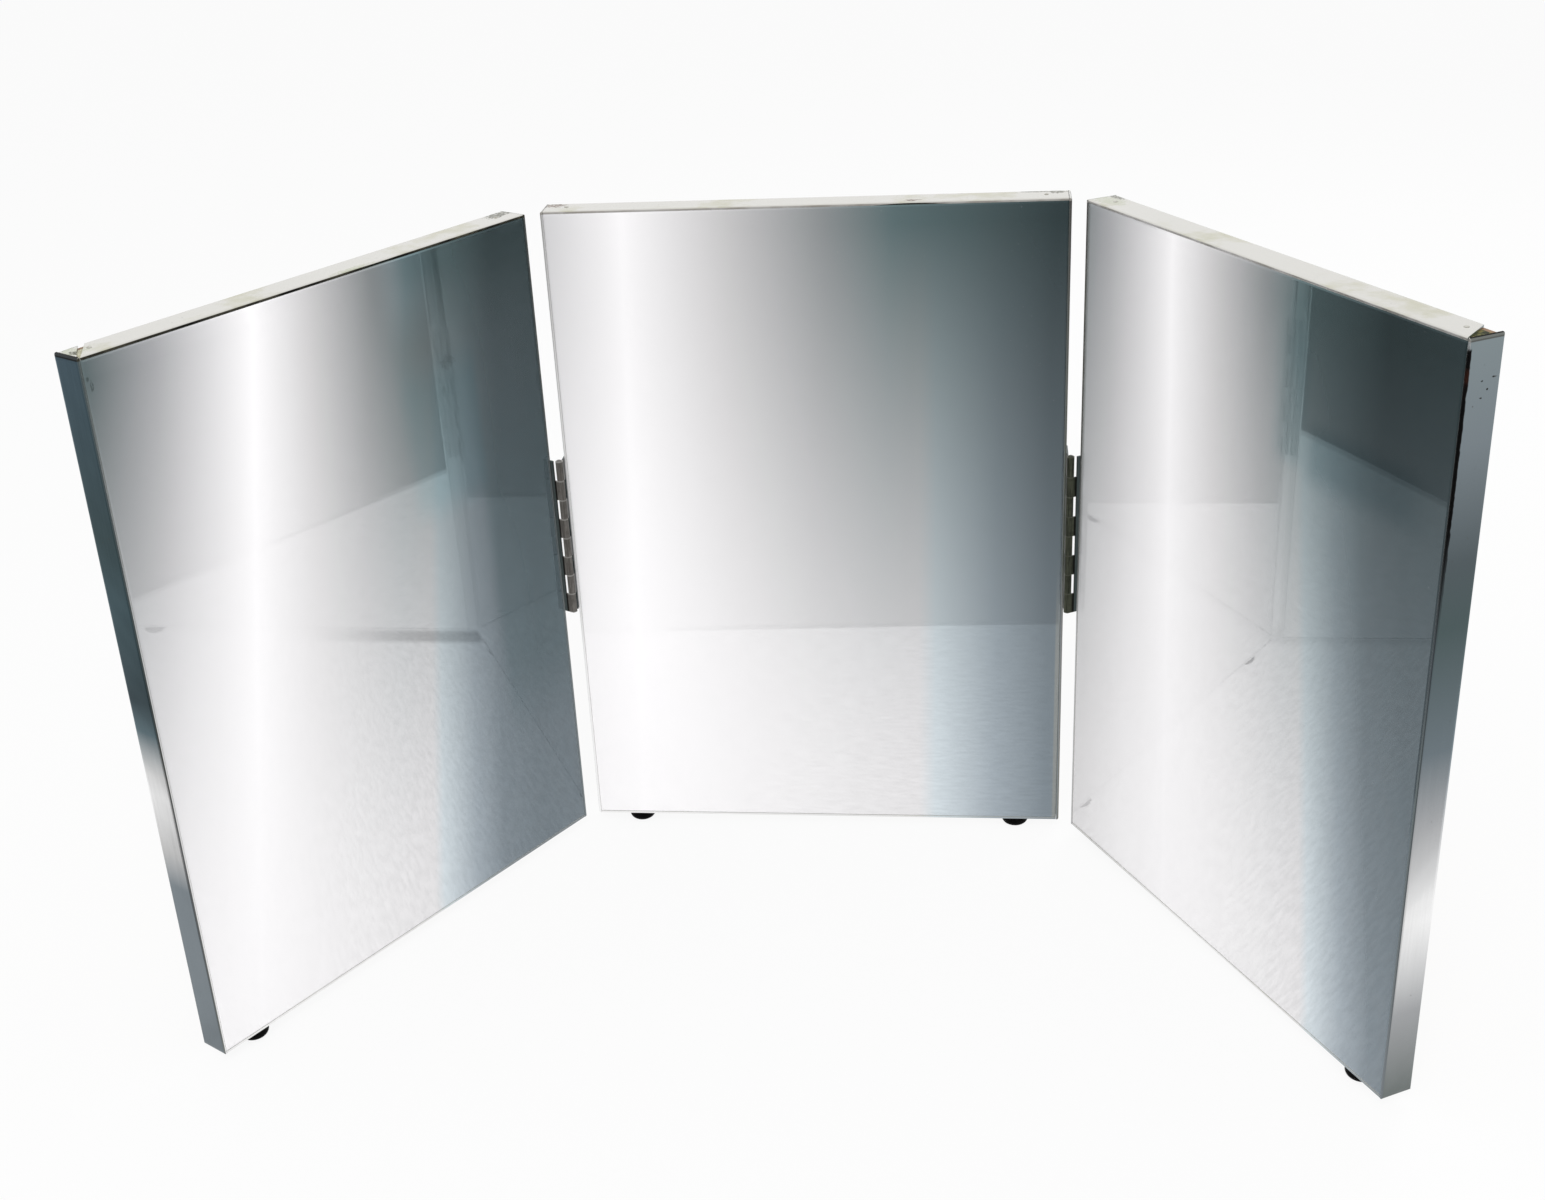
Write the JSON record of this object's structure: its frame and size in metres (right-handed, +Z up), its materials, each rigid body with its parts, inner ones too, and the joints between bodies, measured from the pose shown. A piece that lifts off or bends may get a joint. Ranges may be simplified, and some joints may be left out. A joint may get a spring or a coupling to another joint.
{
  "type": "trifold vanity mirror",
  "caption": "Trifold standing vanity mirror: glass plates on metal-edged boards, side wings on short piano hinges, domed rubber feet.",
  "frame": {"origin": "on the table, at the middle of the box round the open mirror", "axes": "+X to the viewer's right along the centre panel, +Y from the mirror faces to the back, +Z up"},
  "size_m": [0.6568, 0.2894, 0.4143],
  "materials": {
    "mirror_glass": "silvered float glass, polished, with a fine ground arris",
    "mounting_tape": "double-sided foam tape, matt",
    "core_board": "raw chipboard, stained dark with old glue at its edges",
    "back_board": "oil-tempered hardboard, smooth and dull",
    "edge_strip": "bright plated strip, polished, lightly pitted and yellowed",
    "hinge_leaf": "nickel-plated steel, dulled",
    "hinge_pin": "drawn steel wire, bright",
    "screws": "zinc-plated steel",
    "trim_pins": "plated steel, dulled",
    "back_tacks": "blued steel",
    "rubber_foot": "black moulded rubber, matt"
  },
  "bodies": {
    "centre": {"centre_mirror_glass": "mirror_glass", "centre_mirror_tape": "mounting_tape", "centre_core_board": "core_board", "centre_back_board": "back_board", "centre_top_strip": "edge_strip", "centre_bottom_strip": "edge_strip", "centre_left_strip": "edge_strip", "centre_right_strip": "edge_strip", "centre_trim_pins": "trim_pins", "centre_back_tacks": "back_tacks", "centre_foot_screws": "screws", "centre_left_foot": "rubber_foot", "centre_right_foot": "rubber_foot", "left_hinge_centre_leaf": "hinge_leaf", "left_hinge_centre_screws": "screws", "left_hinge_pin": "hinge_pin", "right_hinge_centre_leaf": "hinge_leaf", "right_hinge_centre_screws": "screws", "right_hinge_pin": "hinge_pin"},
    "left_wing": {"left_wing_mirror_glass": "mirror_glass", "left_wing_mirror_tape": "mounting_tape", "left_wing_core_board": "core_board", "left_wing_back_board": "back_board", "left_wing_top_strip": "edge_strip", "left_wing_bottom_strip": "edge_strip", "left_wing_outer_strip": "edge_strip", "left_wing_hinge_strip": "edge_strip", "left_wing_trim_pins": "trim_pins", "left_wing_back_tacks": "back_tacks", "left_wing_foot_screws": "screws", "left_wing_foot": "rubber_foot", "left_hinge_wing_leaf": "hinge_leaf", "left_hinge_wing_screws": "screws"},
    "right_wing": {"right_wing_mirror_glass": "mirror_glass", "right_wing_mirror_tape": "mounting_tape", "right_wing_core_board": "core_board", "right_wing_back_board": "back_board", "right_wing_top_strip": "edge_strip", "right_wing_bottom_strip": "edge_strip", "right_wing_hinge_strip": "edge_strip", "right_wing_outer_strip": "edge_strip", "right_wing_trim_pins": "trim_pins", "right_wing_back_tacks": "back_tacks", "right_wing_foot_screws": "screws", "right_wing_foot": "rubber_foot", "right_hinge_wing_leaf": "hinge_leaf", "right_hinge_wing_screws": "screws"}
  },
  "joints": [
    {"name": "left_wing_swing", "type": "hinge", "parent": "centre", "child": "left_wing", "pos_m": [-0.15043, 0.12103, 0.2107], "axis": [0, 0, 1], "range_deg": [-65, 121]},
    {"name": "right_wing_swing", "type": "hinge", "parent": "centre", "child": "right_wing", "pos_m": [0.15885, 0.12103, 0.2107], "axis": [0, 0, -1], "range_deg": [-66.9, 44.1]}
  ]
}
